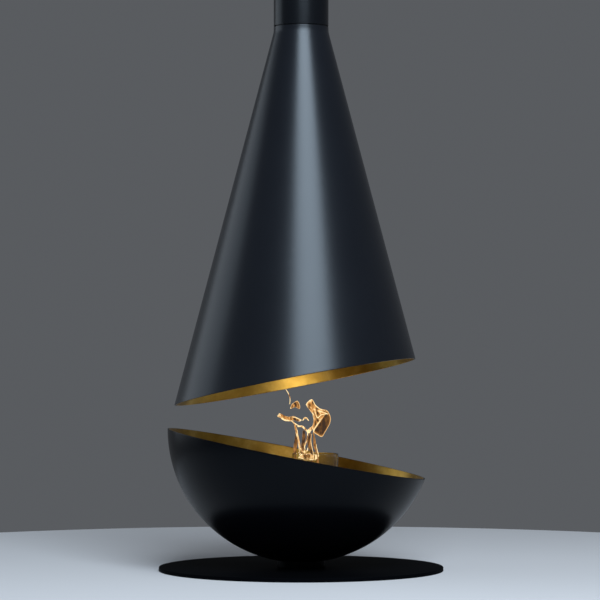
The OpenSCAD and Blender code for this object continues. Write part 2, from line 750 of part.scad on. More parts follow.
module shutter_pin() color(steel) translate([burner_x, 0, 0]) {
    translate([0, 0, shutter_z - turn_gap - pin_head_t])
        cylinder(r = shutter_pin_r + pin_head_w, h = pin_head_t, $fn = 48);
    translate([0, 0, shutter_z - turn_gap])
        cylinder(r = shutter_pin_r, h = deck_z - shutter_z + turn_gap, $fn = 48);
    translate([0, 0, deck_z])
        cylinder(r1 = shutter_pin_r + pin_head_t, r2 = shutter_pin_r, h = pin_head_t, $fn = 48);
}

module bowl_ball_cage() color(bronze) cage(bowl_ball_n, bowl_ball_ring, bowl_ball_z, bowl_ball_r);

module bowl_balls() color(steel) balls(bowl_ball_n, bowl_ball_ring, bowl_ball_z, bowl_ball_r);

// ---- Shutter under the burner's top plate, open at rest

module burner_shutter() color(steel) translate([burner_x, 0, shutter_z]) difference() {
    union() {
        cylinder(r = shutter_r, h = shutter_t);
        rotate([0, 0, -lever_swing]) translate([shutter_r - 5, -lever_w / 2, 0])
            cube([lever_r - shutter_r + 5, lever_w, shutter_t]);
    }
    translate([0, 0, -1]) linear_extrude(shutter_t + 2)
        slots(slot_in, slot_out, slot_angle, slot_n, slot_start);
    translate([0, 0, -1]) cylinder(r = shutter_pin_r + run_play, h = shutter_t + 2, $fn = 48);
}

module shutter_knob() color(black) translate([burner_x, 0, 0]) rotate([0, 0, -lever_swing])
    translate([lever_r, 0, shutter_z + shutter_t / 2]) rotate([0, 90, 0]) rotate_extrude() polygon([
        [0, 0],
        [knob_r * 0.7, 0],
        [knob_r, knob_l * 0.3],
        [knob_r, knob_l * 0.8],
        [knob_r * 0.7, knob_l],
        [0, knob_l]]);

// ---- Lift-off glass

glass_bevel = 1;

module glass_guard() color([0.8, 0.9, 0.9, 0.35]) translate([burner_x, 0, guard_z])
    rotate_extrude() polygon([
        [guard_r - glass_t, 0],
        [guard_r, 0],
        [guard_r, guard_h - glass_bevel],
        [guard_r - glass_bevel, guard_h],
        [guard_r - glass_t + glass_bevel, guard_h],
        [guard_r - glass_t, guard_h - glass_bevel]]);

ceiling_bracket();
ceiling_rosette();
rosette_screws();
flue_screws();
flue_pipe();
flue_spigot();
spigot_screws();
hood_lower_race();
race_lock_ring();
base_plate();
pivot_post();
post_screws();
bowl_lower_race();
pivot_washer();
pivot_nut();
hood_shell();
hood_lining();
hood_collar();
hood_upper_race();
damper_housing();
damper_bushes();
flue_seal();
hood_ball_cage();
hood_balls();
damper_plate();
damper_spindle();
damper_screws();
damper_crank();
damper_rod();
rod_grip();
bowl_shell();
bowl_lining();
bowl_hub();
hub_bush();
bowl_upper_race();
neck_ring();
burner_stand();
stand_screws();
burner_can();
fibre_fill();
burner_top();
shutter_pin();
bowl_ball_cage();
bowl_balls();
burner_shutter();
shutter_knob();
glass_guard();
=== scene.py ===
import json
import math

import bmesh
import bpy
import numpy as np
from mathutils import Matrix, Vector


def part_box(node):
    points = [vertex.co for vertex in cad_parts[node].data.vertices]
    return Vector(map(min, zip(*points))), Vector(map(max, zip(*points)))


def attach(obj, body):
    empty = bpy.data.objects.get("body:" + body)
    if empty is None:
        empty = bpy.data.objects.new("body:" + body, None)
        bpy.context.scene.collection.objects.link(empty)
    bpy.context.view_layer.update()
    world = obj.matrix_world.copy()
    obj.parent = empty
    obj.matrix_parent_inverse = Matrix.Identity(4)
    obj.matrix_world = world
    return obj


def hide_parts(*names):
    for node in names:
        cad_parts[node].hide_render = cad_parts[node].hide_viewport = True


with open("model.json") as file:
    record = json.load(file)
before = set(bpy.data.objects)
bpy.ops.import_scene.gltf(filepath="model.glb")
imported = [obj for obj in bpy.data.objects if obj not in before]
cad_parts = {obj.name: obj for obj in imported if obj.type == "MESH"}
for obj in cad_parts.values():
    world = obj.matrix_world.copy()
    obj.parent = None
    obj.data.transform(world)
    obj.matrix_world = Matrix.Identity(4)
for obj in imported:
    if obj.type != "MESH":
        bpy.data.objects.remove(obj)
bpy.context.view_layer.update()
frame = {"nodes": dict(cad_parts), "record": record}                                  # bodies, nodes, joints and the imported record
mm = 0.001
print("frame loaded:", len(frame["nodes"]), "nodes")

viewPoint = {"distance": 7.363, "height": 0.624, "side": -0.003, "lens": 161.4, "shiftUp": 0.07, "clipEnd": 60}
# each lamp: (bearing from the camera's side, height of its centre, distance, height that it looks at,
# width, height, watts, colour)
lamps = {
    "frontBox": (12, 3.5, 3.7, 0.9, 2.8, 3.2, 240, (0.84, 0.92, 1.0)),
    "highBox": (13, 4.7, 3.6, 0.9, 2.2, 0.9, 30, (0.84, 0.92, 1.0)),
    "leftBox": (-111, 1.4, 3.4, 0.9, 2.6, 2.6, 20, (0.84, 0.92, 1.0)),
    "topBox": (30, 4.4, 1.0, 0.0, 1.6, 1.6, 30, (1.0, 1.0, 1.0)),
}
fireGlow = {"place": (0.008, 0.055, 0.345), "radius": 0.02, "watts": 0.30, "colour": (1.0, 0.96, 0.88)}


def placeCamera(spec):
    # in front of the object at its distance and height, level, with the picture shifted up
    camera = bpy.data.objects.new("viewCamera", bpy.data.cameras.new("viewCamera"))
    bpy.context.scene.collection.objects.link(camera)
    camera.location = (spec["side"], -spec["distance"], spec["height"])
    camera.rotation_euler = (math.pi / 2, 0, 0)    # looks along +Y
    camera.data.lens = spec["lens"]
    camera.data.shift_y = spec["shiftUp"]
    camera.data.clip_end = spec["clipEnd"]
    bpy.context.scene.camera = camera


def placeLamp(name, bearing, high, away, aim, width, height, watts, colour):
    # a box lamp on a circle of radius away, leaned by the angle whose tangent is (high - aim) / away
    data = bpy.data.lights.new(name, "AREA")
    data.shape, data.size, data.size_y = "RECTANGLE", width, height
    data.energy, data.color = watts, colour
    lamp = bpy.data.objects.new(name, data)
    bpy.context.scene.collection.objects.link(lamp)
    turn = math.radians(bearing)
    lamp.location = (away * math.sin(turn), -away * math.cos(turn), high)
    lean = math.atan2(high - aim, away)
    lamp.rotation_euler = (math.pi / 2 - lean, 0, turn)


def placeGlow(spec):
    # the fire's own light on the gold
    data = bpy.data.lights.new("fireGlow", "POINT")
    data.energy, data.color, data.shadow_soft_size = spec["watts"], spec["colour"], spec["radius"]
    lamp = bpy.data.objects.new("fireGlow", data)
    lamp.location = spec["place"]
    bpy.context.scene.collection.objects.link(lamp)


class Wire:
    # one shader socket; sums on it add Math nodes, and node() makes any other node
    def __init__(self, tree, socket=None):
        self.tree, self.socket = tree, socket

    def node(self, kind, settings, sockets, out=0):
        made = self.tree.nodes.new(kind)
        for key, value in settings.items():
            if key == "stops":
                ramp = made.color_ramp
                while len(ramp.elements) < len(value):
                    ramp.elements.new(0.5)
                for element, (place, colour) in zip(ramp.elements, value):
                    element.position, element.color = place, (*colour, 1.0)
            else:
                setattr(made, key, value)
        for key, value in sockets.items():
            if isinstance(value, Wire):
                self.tree.links.new(value.socket, made.inputs[key])
            else:
                made.inputs[key].default_value = value
        return Wire(self.tree, made.outputs[out])

    def maths(self, operation, *values):
        return self.node("ShaderNodeMath", {"operation": operation}, dict(enumerate(values)))

    def __add__(self, other):
        return self.maths("ADD", self, other)

    def __radd__(self, other):
        return self.maths("ADD", other, self)

    def __sub__(self, other):
        return self.maths("SUBTRACT", self, other)

    def __rsub__(self, other):
        return self.maths("SUBTRACT", other, self)

    def __mul__(self, other):
        return self.maths("MULTIPLY", self, other)

    def __rmul__(self, other):
        return self.maths("MULTIPLY", other, self)

    def __pow__(self, other):
        return self.maths("POWER", self, other)

    def __rpow__(self, other):
        return self.maths("POWER", other, self)

    def clipped(self):
        return self.node("ShaderNodeClamp", {}, {"Value": self})

    def noise(self, place, scale, detail=2.0, roughness=0.5):
        return self.node("ShaderNodeTexNoise", {}, {
            "Vector": place, "Scale": scale, "Detail": detail, "Roughness": roughness})

    def ramp(self, stops):
        return self.node("ShaderNodeValToRGB", {"stops": stops}, {"Fac": self})

    def blended(self, low, high):
        # the colour that goes from low to high with this value
        return self.node("ShaderNodeMix", {"data_type": "RGBA"}, {0: self, 6: low, 7: high}, out=2)


def newMaterial(name):
    made = bpy.data.materials.new(name)
    made.use_nodes = True
    made.node_tree.nodes.clear()
    return made, Wire(made.node_tree)


def finishMaterial(made, wire, constants, links):
    # a Principled shader with its constants on its own sockets and its varying inputs linked
    shader = wire.node("ShaderNodeBsdfPrincipled", {}, {**constants, **links})
    output = made.node_tree.nodes.new("ShaderNodeOutputMaterial")
    made.node_tree.links.new(shader.socket, output.inputs["Surface"])
    return made


def objectPlace(wire):
    # the Texture Coordinate node's fourth output, Object
    return wire.node("ShaderNodeTexCoord", {}, {}, out=3)


def stretched(wire, place, scale):
    # the pattern's place, stretched along each axis
    return wire.node("ShaderNodeMapping", {}, {"Vector": place, "Scale": scale})


def bumped(wire, height, strength, distance):
    return wire.node("ShaderNodeBump", {}, {
        "Height": height, "Strength": strength, "Distance": distance})


# each coat: darkest and palest colour, roughness and its spread, gloss, and grain per metre
coats = {
    "hoodBlack": ((0.0045, 0.0055, 0.008), (0.0065, 0.008, 0.012), 0.30, 0.04, 0.45, 1500),
    # the bowl's, neck's and plate's coats below are the hood's black coat painted darker, as painted shade: the
    # bowl's downturned underside, the neck in the shadow under the bowl, and the plate in the bowl's shadow
    "bowlShadedBlack": ((0.0012, 0.0015, 0.0025), (0.0022, 0.0026, 0.004), 0.29, 0.04, 0.10, 1500),
    "neckShadowBlack": ((0.0010, 0.0011, 0.0015), (0.0018, 0.002, 0.0026), 0.34, 0.04, 0.042, 1500),
    "flueBlack": ((0.002, 0.0025, 0.004), (0.004, 0.005, 0.007), 0.29, 0.04, 0.37, 1200),
    "plateShadedBlack": ((0.0012, 0.0014, 0.002), (0.0025, 0.003, 0.004), 0.55, 0.05, 0.006, 1000),
    "coatBlack": ((0.006, 0.006, 0.007), (0.010, 0.010, 0.012), 0.42, 0.08, 0.35, 900),
    "hiddenBlack": ((0.006, 0.006, 0.007), (0.010, 0.010, 0.012), 0.60, 0.08, 0.014, 900),
    "gripBlack": ((0.010, 0.010, 0.011), (0.016, 0.016, 0.018), 0.42, 0.06, 0.45, 2200),
}
coatTint = (0.80, 0.91, 1.0, 1)                    # the coats' gloss is a little blue


def coatMaterial(name, dark, light, roughness, spread, gloss, grain):
    # heat-proof spray coat: fine grain in the bump, soft clouds in colour and roughness
    made, wire = newMaterial(name)
    place = objectPlace(wire)
    clouds = wire.noise(place, 7.0, 4.0)
    speck = wire.noise(place, grain, 3.0, 0.65)
    colour = (clouds * 0.7 + speck * 0.3).clipped().blended((*dark, 1), (*light, 1))
    rough = roughness - spread / 2 + clouds * spread
    normal = bumped(wire, speck, 0.18, 0.0002)
    return finishMaterial(made, wire, {"Specular IOR Level": gloss, "Specular Tint": coatTint}, {
        "Base Color": colour, "Roughness": rough, "Normal": normal})


gold = {"stops": [(0.3, (0.34, 0.195, 0.030)), (0.55, (0.48, 0.30, 0.060)), (0.75, (0.64, 0.44, 0.13))],
        "roughness": 0.22, "streaks": (30, 30, 900), "patches": 14.0}


def goldMaterial(name, spec):
    # brushed gold: streaks that run round the wall, with warm and pale patches of leaf
    made, wire = newMaterial(name)
    place = objectPlace(wire)
    streak = wire.noise(stretched(wire, place, spec["streaks"]), 1.0, 3.0, 0.6)
    patch = wire.noise(place, spec["patches"], 5.0, 0.6)
    colour = patch.ramp(spec["stops"])
    rough = spec["roughness"] + streak * 0.11 + patch * 0.05
    normal = bumped(wire, streak + patch * 0.3, 0.12, 0.0004)
    return finishMaterial(made, wire, {"Metallic": 1.0}, {
        "Base Color": colour, "Roughness": rough, "Normal": normal})


def turnedMaterial(name, dark, light, roughness, centreX=0.0):
    # lathe-turned metal: fine rings about a vertical axis at centreX
    made, wire = newMaterial(name)
    place = objectPlace(wire)
    axes = wire.node("ShaderNodeSeparateXYZ", {}, {"Vector": place}).socket.node
    x = Wire(wire.tree, axes.outputs[0]) - centreX
    y = Wire(wire.tree, axes.outputs[1])
    radius = (x * x + y * y) ** 0.5
    rings = wire.node("ShaderNodeTexNoise", {"noise_dimensions": "1D"}, {
        "W": radius, "Scale": 2600.0, "Detail": 2.0})
    stain = wire.noise(place, 40.0, 3.0)
    colour = (rings * 0.5 + stain * 0.5).clipped().blended((*dark, 1), (*light, 1))
    rough = roughness + rings * 0.12
    normal = bumped(wire, rings, 0.1, 0.0001)
    return finishMaterial(made, wire, {"Metallic": 1.0}, {
        "Base Color": colour, "Roughness": rough, "Normal": normal})


def brushedMaterial(name, dark, light, roughness):
    # brushed sheet metal: fine upright streaks
    made, wire = newMaterial(name)
    place = objectPlace(wire)
    streak = wire.noise(stretched(wire, place, (1400, 1400, 30)), 1.0, 2.0, 0.5)
    stain = wire.noise(place, 22.0, 3.0)
    colour = (streak * 0.4 + stain * 0.6).clipped().blended((*dark, 1), (*light, 1))
    normal = bumped(wire, streak, 0.08, 0.0001)
    return finishMaterial(made, wire, {"Metallic": 1.0}, {
        "Base Color": colour, "Roughness": roughness + streak * 0.12, "Normal": normal})


def fibreMaterial(name, dark, light, scale, depth):
    # matted fibre: long thin noise crossed with fine noise
    made, wire = newMaterial(name)
    place = objectPlace(wire)
    hair = wire.noise(stretched(wire, place, (scale, scale * 0.3, scale * 2)), 1.0, 6.0, 0.7)
    fluff = wire.noise(place, scale * 0.4, 4.0)
    colour = (hair * 0.6 + fluff * 0.4).clipped().blended((*dark, 1), (*light, 1))
    normal = bumped(wire, hair + fluff, 0.7, depth)
    return finishMaterial(made, wire, {}, {
        "Base Color": colour, "Roughness": 0.8 + fluff * 0.2, "Normal": normal})


def glassMaterial(name):
    # clear heat-proof glass with a faint green tint and a little haze near the fire
    made, wire = newMaterial(name)
    place = objectPlace(wire)
    haze = wire.noise(place, 30.0, 3.0)
    constants = {"IOR": 1.47, "Transmission Weight": 1.0, "Specular IOR Level": 0.2}
    return finishMaterial(made, wire, constants, {
        "Base Color": haze.blended((0.93, 0.97, 0.96, 1), (0.98, 1.0, 0.99, 1)), "Roughness": haze * 0.02})


burnerX = 0.039                                    # the burner's upright line

materials = {name: coatMaterial(name, *values) for name, values in coats.items()}
materials.update({
    "gold": goldMaterial("goldLeaf", gold),
    "steel": turnedMaterial("turnedSteel", (0.42, 0.43, 0.45), (0.62, 0.63, 0.65), 0.26),
    "burnerSteel": turnedMaterial("burnerSteel", (0.45, 0.45, 0.46), (0.66, 0.66, 0.67), 0.36, burnerX),
    "sheetSteel": brushedMaterial("sheetSteel", (0.44, 0.44, 0.45), (0.62, 0.62, 0.63), 0.28),
    "bronze": turnedMaterial("turnedBronze", (0.42, 0.27, 0.12), (0.66, 0.46, 0.22), 0.28),
    "rope": fibreMaterial("glassRope", (0.50, 0.48, 0.42), (0.80, 0.78, 0.71), 900, 0.0008),
    "fibre": fibreMaterial("ceramicFibre", (0.62, 0.60, 0.55), (0.88, 0.87, 0.83), 500, 0.0012),
    "glass": glassMaterial("clearGlass"),
})
print("materials made:", len(materials))

sharpAngle = {"made": 32, "dressed": 28}           # degrees past which an edge stays sharp
# in softenings: how far the cut corner's middle row is pulled in, and where the row lies that keeps
# the face's shading flat
cutCorner = {"pull": 0.3, "steady": 4}


def gridPiece(name, grid, material, body, replaced):
    # grid[i, j] is a point; i runs round, j runs along the outline, and both close on themselves
    rounds, along = grid.shape[:2]
    i = np.arange(rounds)[:, None]
    j = np.arange(along)[None, :]
    nextI = (i + 1) % rounds
    nextJ = (j + 1) % along
    faces = (i * along + j, nextI * along + j, nextI * along + nextJ, i * along + nextJ)
    corners = np.stack(np.broadcast_arrays(*faces), -1).reshape(-1, 4)
    mesh = bpy.data.meshes.new(name)
    mesh.vertices.add(rounds * along)
    mesh.vertices.foreach_set("co", grid.astype(np.float32).ravel())
    mesh.loops.add(corners.size)
    mesh.loops.foreach_set("vertex_index", corners.astype(np.int32).ravel())
    mesh.polygons.add(len(corners))
    mesh.polygons.foreach_set("loop_start", (np.arange(len(corners)) * 4).astype(np.int32))
    mesh.update(calc_edges=True)
    mesh.validate()
    finishPiece(name, mesh, material, body, replaced, sharpAngle["made"])


def finishPiece(name, mesh, material, body, replaced, sharp):
    # joins doubled points, turns faces outwards, smooths all but the sharp edges and rides on its body
    work = bmesh.new()
    work.from_mesh(mesh)
    bmesh.ops.remove_doubles(work, verts=work.verts, dist=2e-6)
    bmesh.ops.dissolve_degenerate(work, dist=1e-7, edges=work.edges)
    bmesh.ops.recalc_face_normals(work, faces=work.faces)
    work.to_mesh(mesh)
    work.free()
    mesh.polygons.foreach_set("use_smooth", np.ones(len(mesh.polygons), bool))
    mesh.set_sharp_from_angle(angle=math.radians(sharp))
    mesh.materials.clear()
    mesh.materials.append(material)
    piece = bpy.data.objects.new(name, mesh)
    bpy.context.scene.collection.objects.link(piece)
    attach(piece, body)
    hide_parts(*replaced)


def rounded(corners, radius, steps=4):
    # the closed outline with each corner turned into an arc, (1 - s)^2 start + 2 s (1 - s) corner + s^2 end;
    # a corner may bring its own radius third
    points = []
    count = len(corners)
    for k, corner in enumerate(corners):
        here = np.array(corner[:2], float)
        before = np.array(corners[k - 1][:2], float) - here
        after = np.array(corners[(k + 1) % count][:2], float) - here
        size = corner[2] if len(corner) > 2 else radius
        longB, longA = np.hypot(*before), np.hypot(*after)
        if size <= 0 or longB < 1e-9 or longA < 1e-9:      # a sharp corner, or no side to round into
            points.append(here)
            continue
        before, after = before / longB, after / longA
        half = math.acos(max(-1, min(1, float(before @ after)))) / 2
        if half > math.radians(89):                # the two sides run on in one line
            points.append(here)
            continue
        back = min(size / math.tan(half), 0.45 * longB, 0.45 * longA)      # never past a side's middle
        share = np.linspace(0, 1, steps + 1)[:, None]
        start, end = here + before * back, here + after * back
        curve = (1 - share) ** 2 * start + 2 * share * (1 - share) * here + share ** 2 * end
        points.extend(curve)
    return np.array(points)


def lathe(name, outline, material, body, replaced, centreX=0.0, rounds=256):
    # outline of (radius, height) turned about the upright line at centreX:
    # x = centreX + radius * cos(angle), y = radius * sin(angle)
    angle = np.linspace(0, 2 * np.pi, rounds, endpoint=False)[:, None]
    radius, height = outline[:, 0][None, :], outline[:, 1][None, :]
    grid = np.stack([centreX + radius * np.cos(angle), radius * np.sin(angle), height + 0 * angle], -1)
    gridPiece(name, grid, material, body, replaced)


def skinGrid(outer, inner, softTop, softRim):
    # outer[i, j] and inner[i, j] run from the far edge to the cut rim on both faces of a sheet;
    # the four edges are softened by leaving each corner point out and cutting across it
    def shifted(path, otherEnd, end, soften):
        tip, ahead = path[:, end], path[:, end + (1 if end == 0 else -1)]
        alongWay = ahead - tip
        alongWay /= np.linalg.norm(alongWay, axis=-1, keepdims=True)
        overWay = otherEnd - tip
        overWay /= np.linalg.norm(overWay, axis=-1, keepdims=True)
        pulled = tip + (alongWay + overWay) * soften * cutCorner["pull"]
        steady = tip + alongWay * soften * cutCorner["steady"]
        return tip + alongWay * soften, pulled, tip + overWay * soften, steady

    outTop = shifted(outer, inner[:, 0], 0, softTop)
    outRim = shifted(outer, inner[:, -1], -1, softRim)
    inTop = shifted(inner, outer[:, 0], 0, softTop)
    inRim = shifted(inner, outer[:, -1], -1, softRim)
    columns = [outTop[2], outTop[1], outTop[0], outTop[3], *np.moveaxis(outer[:, 1:-1], 1, 0),
               outRim[3], outRim[0], outRim[1], outRim[2], inRim[2], inRim[1], inRim[0], inRim[3],
               *np.moveaxis(inner[:, 1:-1], 1, 0)[::-1], inTop[3], inTop[0], inTop[1], inTop[2]]
    return np.stack(columns, 1)


# sphere is the radius, and drop is how far the rim's middle lies under the sphere's
bowl = {"sphere": 0.365, "abovePlate": 0.011, "tilt": 11.0, "drop": 69 * mm,
        "sheet": 3 * mm, "gap": 0.5 * mm, "lining": 1.5 * mm, "soften": 0.7 * mm,
        "softenLining": 0.4 * mm, "holeGap": 0.1 * mm, "rounds": 360, "rows": 48}
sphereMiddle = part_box("base_plate")[1].z + bowl["abovePlate"] + bowl["sphere"]


def bowlSide(radius, holeRadius, spec):
    # one face of the bowl: from the hub's hole to the rim's oblique plane, where the angle up from
    # the lowest point solves cos(a) - k sin(a) = drop / radius with k = tan(tilt) * cos(bearing)
    bearing = np.linspace(0, 2 * np.pi, spec["rounds"], endpoint=False)[:, None]
    k = math.tan(math.radians(spec["tilt"])) * np.cos(bearing)
    rim = np.arccos(spec["drop"] / (radius * np.sqrt(1 + k * k))) - np.arctan(k)
    start = math.asin(holeRadius / radius)
    angle = start + (rim - start) * np.linspace(0, 1, spec["rows"])[None, :]
    across = radius * np.sin(angle)
    x, y = across * np.cos(bearing), across * np.sin(bearing)
    return np.stack([x, y, sphereMiddle - radius * np.cos(angle)], -1)


def makeBowl(spec):
    # the black half-sphere and its gold lining, each a skin between two spheres' faces
    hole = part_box("bowl_upper_race")[1].x + spec["holeGap"]
    shell = skinGrid(bowlSide(spec["sphere"], hole, spec), bowlSide(spec["sphere"] - spec["sheet"], hole, spec),
                     spec["soften"], spec["soften"])
    gridPiece("bowl_skin", shell, materials["bowlShadedBlack"], "bowl", ["bowl_shell"])
    outside = spec["sphere"] - spec["sheet"] - spec["gap"]
    lining = skinGrid(bowlSide(outside, hole, spec), bowlSide(outside - spec["lining"], hole, spec),
                      spec["softenLining"], spec["softenLining"])
    gridPiece("bowl_gold", lining, materials["gold"], "bowl", ["bowl_lining"])


# aboveRim is how far the mouth's middle lies over the bowl's rim, neck is the upright part at the top,
# and blend is half the height over which it turns into the cone
hood = {"aboveRim": 0.200, "tilt": 11.4, "turn": -17.0, "halfAngle": 14.9, "neck": 13 * mm,
        "blend": 6 * mm, "sheet": 2.5 * mm, "gap": 0.5 * mm, "lining": 1.5 * mm, "soften": 0.6 * mm,
        "softenTop": 0.2 * mm, "softenLining": 0.4 * mm, "rounds": 360, "rows": 28}
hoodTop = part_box("hood_shell")[1].z
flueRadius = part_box("flue_pipe")[1].x
mouthHeight = sphereMiddle - bowl["drop"] + hood["aboveRim"]


def hoodSide(depth, top, spec):
    # one face of the cone, depth inside its outer face: the lower edge lies on the oblique plane
    # z = mouth + tan(tilt) * radius * cos(bearing - turn), solved for the cone's radius at that height;
    # from blend above the cone's top to blend below it, the neck runs into the cone on a parabola
    slope, tilt = math.tan(math.radians(spec["halfAngle"])), math.tan(math.radians(spec["tilt"]))
    inset = depth / math.cos(math.radians(spec["halfAngle"]))
    coneTop, blend = hoodTop - spec["neck"], spec["blend"]
    bearing = np.linspace(0, 2 * np.pi, spec["rounds"], endpoint=False)[:, None]
    lean = tilt * np.cos(bearing - math.radians(spec["turn"]))
    low = (mouthHeight + lean * (flueRadius - inset + slope * coneTop)) / (1 + lean * slope)
    if top > coneTop:
        neckRows = coneTop + blend * np.array([0, 1, 0.5, 0, -0.5, -1])
        neckRows[0] = top
        share = np.linspace(0, 1, spec["rows"])[None, 1:]
        coneRows = neckRows[-1] + (low - neckRows[-1]) * share
        height = np.concatenate([neckRows[None, :] + 0 * bearing, coneRows], 1)
        below = coneTop - height
        curve = (below + blend) ** 2 / (4 * blend)
        grow = np.where(below > blend, below, np.where(below < -blend, 0, curve))
        inward = (inset - depth) * np.clip((below + blend) / (2 * blend), 0, 1)
        radius = flueRadius - depth + slope * grow - inward
    else:
        height = top + (low - top) * np.linspace(0, 1, spec["rows"])[None, :]
        radius = flueRadius - inset + slope * (coneTop - height)
    return np.stack([radius * np.cos(bearing), radius * np.sin(bearing), height], -1)


def makeHood(spec):
    # the black cone and its gold lining, each a skin between two faces of the cone
    shell = skinGrid(hoodSide(0, hoodTop, spec), hoodSide(spec["sheet"], hoodTop, spec),
                     spec["softenTop"], spec["soften"])
    gridPiece("hood_skin", shell, materials["hoodBlack"], "hood", ["hood_shell"])
    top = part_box("hood_lining")[1].z
    depth = spec["sheet"] + spec["gap"]
    lining = skinGrid(hoodSide(depth, top, spec), hoodSide(depth + spec["lining"], top, spec),
                      spec["softenLining"], spec["softenLining"])
    gridPiece("hood_gold", lining, materials["gold"], "hood", ["hood_lining"])


flue = {"wall": 2 * mm, "step": 0.6 * mm, "deep": 60 * mm, "soften": 0.6 * mm}


def makeFlue(spec):
    # a pipe's section turned round; near the ceiling its bore is wider by step
    low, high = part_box("flue_pipe")
    inner, step, deep = flueRadius - spec["wall"], spec["step"], spec["deep"]
    outline = rounded([(inner, low.z), (flueRadius, low.z), (flueRadius, high.z), (inner + step, high.z),
                       (inner + step, high.z - deep), (inner, high.z - deep - step)], spec["soften"])
    lathe("flue_tube", outline, materials["flueBlack"], "mounting", ["flue_pipe"])


plate = {"raceGap": 2 * mm, "foot": 0.8 * mm, "edge": 1.6 * mm, "lip": 0.4 * mm, "recess": 0.3 * mm, "steps": 6}


def makePlate(spec):
    # a disc's section turned round, with a recess for the bowl's race and its own arc at each corner
    low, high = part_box("base_plate")
    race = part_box("bowl_lower_race")
    edge, recess, floor = high.x, race[1].x + spec["raceGap"], race[0].z
    outline = rounded([(0, low.z, 0), (edge, low.z, spec["foot"]), (edge, high.z, spec["edge"]),
                       (recess, high.z, spec["lip"]), (recess, floor, spec["recess"]), (0, floor, 0)],
                      0, spec["steps"])
    lathe("floor_disc", outline, materials["plateShadedBlack"], "mounting", ["base_plate"])


guard = {"wall": 3 * mm, "soften": 1.3 * mm, "steps": 6, "rounds": 192}


def makeGuard(spec):
    # the glass wall's section, rounded at both rims, turned about the burner's line
    low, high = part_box("glass_guard")
    middle, outer = (low.x + high.x) / 2, (high.x - low.x) / 2
    inner = outer - spec["wall"]
    outline = rounded([(inner, low.z), (outer, low.z), (outer, high.z), (inner, high.z)],
                      spec["soften"], spec["steps"])
    lathe("guard_glass", outline, materials["glass"], "guard", ["glass_guard"],
          middle, spec["rounds"])


# every other CAD node keeps its form and takes a finish; each entry: (finish, slot name)
finishes = {
    "ceiling_bracket": ("hiddenBlack", "black_coat"), "ceiling_rosette": ("flueBlack", "black_coat"),
    "rosette_screws": ("hiddenBlack", "black_coat"), "flue_screws": ("steel", "steel"),
    "flue_spigot": ("coatBlack", "black_coat"), "spigot_screws": ("coatBlack", "black_coat"),
    "hood_lower_race": ("steel", "steel"), "race_lock_ring": ("steel", "steel"),
    "pivot_post": ("steel", "steel"), "post_screws": ("steel", "steel"),
    "bowl_lower_race": ("steel", "steel"), "pivot_washer": ("steel", "steel"),
    "pivot_nut": ("steel", "steel"), "hood_collar": ("steel", "steel"), "hood_upper_race": ("steel", "steel"),
    "damper_housing": ("coatBlack", "black_coat"), "damper_bushes": ("bronze", "bronze"),
    "flue_seal": ("rope", "rope"), "hood_ball_cage": ("bronze", "bronze"), "hood_balls": ("steel", "steel"),
    "damper_plate": ("sheetSteel", "steel"), "damper_spindle": ("steel", "steel"),
    "damper_screws": ("steel", "steel"), "damper_crank": ("sheetSteel", "steel"),
    "damper_rod": ("sheetSteel", "steel"), "rod_grip": ("gripBlack", "grip_black"),
    "bowl_hub": ("steel", "steel"), "hub_bush": ("bronze", "bronze"), "bowl_upper_race": ("steel", "steel"),
    "neck_ring": ("neckShadowBlack", "black_coat"), "burner_stand": ("coatBlack", "black_coat"),
    "stand_screws": ("steel", "steel"), "burner_can": ("sheetSteel", "burner_steel"),
    "fibre_fill": ("fibre", "ceramic_fibre"), "burner_top": ("burnerSteel", "burner_steel"),
    "shutter_pin": ("burnerSteel", "steel"), "bowl_ball_cage": ("bronze", "bronze"),
    "bowl_balls": ("steel", "steel"), "burner_shutter": ("burnerSteel", "burner_steel"),
    "shutter_knob": ("gripBlack", "grip_black"),
}


def dressNode(node, body, material):
    # a merged, smoothly shaded copy of the CAD mesh stands for the node
    mesh = frame["nodes"][node].data.copy()
    finishPiece(node + "_dressed", mesh, material, body, [node], sharpAngle["dressed"])


flame = {
    "glow": 1.25, "bright": (1.0, 0.76, 0.39), "warm": (0.60, 0.27, 0.075), "veil": (0.040, 0.018, 0.007),
    "density": 0.86, "rimPower": 14.0, "rimGlow": 0.85,
    "wisps": (120, 120, 45), "wispGain": 3.0, "wispCut": 1.05,
    "foldDepth": 14.0, "foldWidth": 11.5, "foldMiddle": 12, "swayDepth": 6.0, "swayHeight": 28.0,
}
# a ribbon narrower than rimsFrom millimetres begins to glow right across, and one narrower by fade does
ribbon = {"rowsPerPoint": 14, "across": 11, "narrowest": 0.6, "tips": 0.2, "curl": 0.7,
          "rimsFrom": 3.8, "fade": 1.2, "rimLeast": 0.2, "rimGain": 0.75}
sheet = {"rowsPerPoint": 12, "rings": 12}
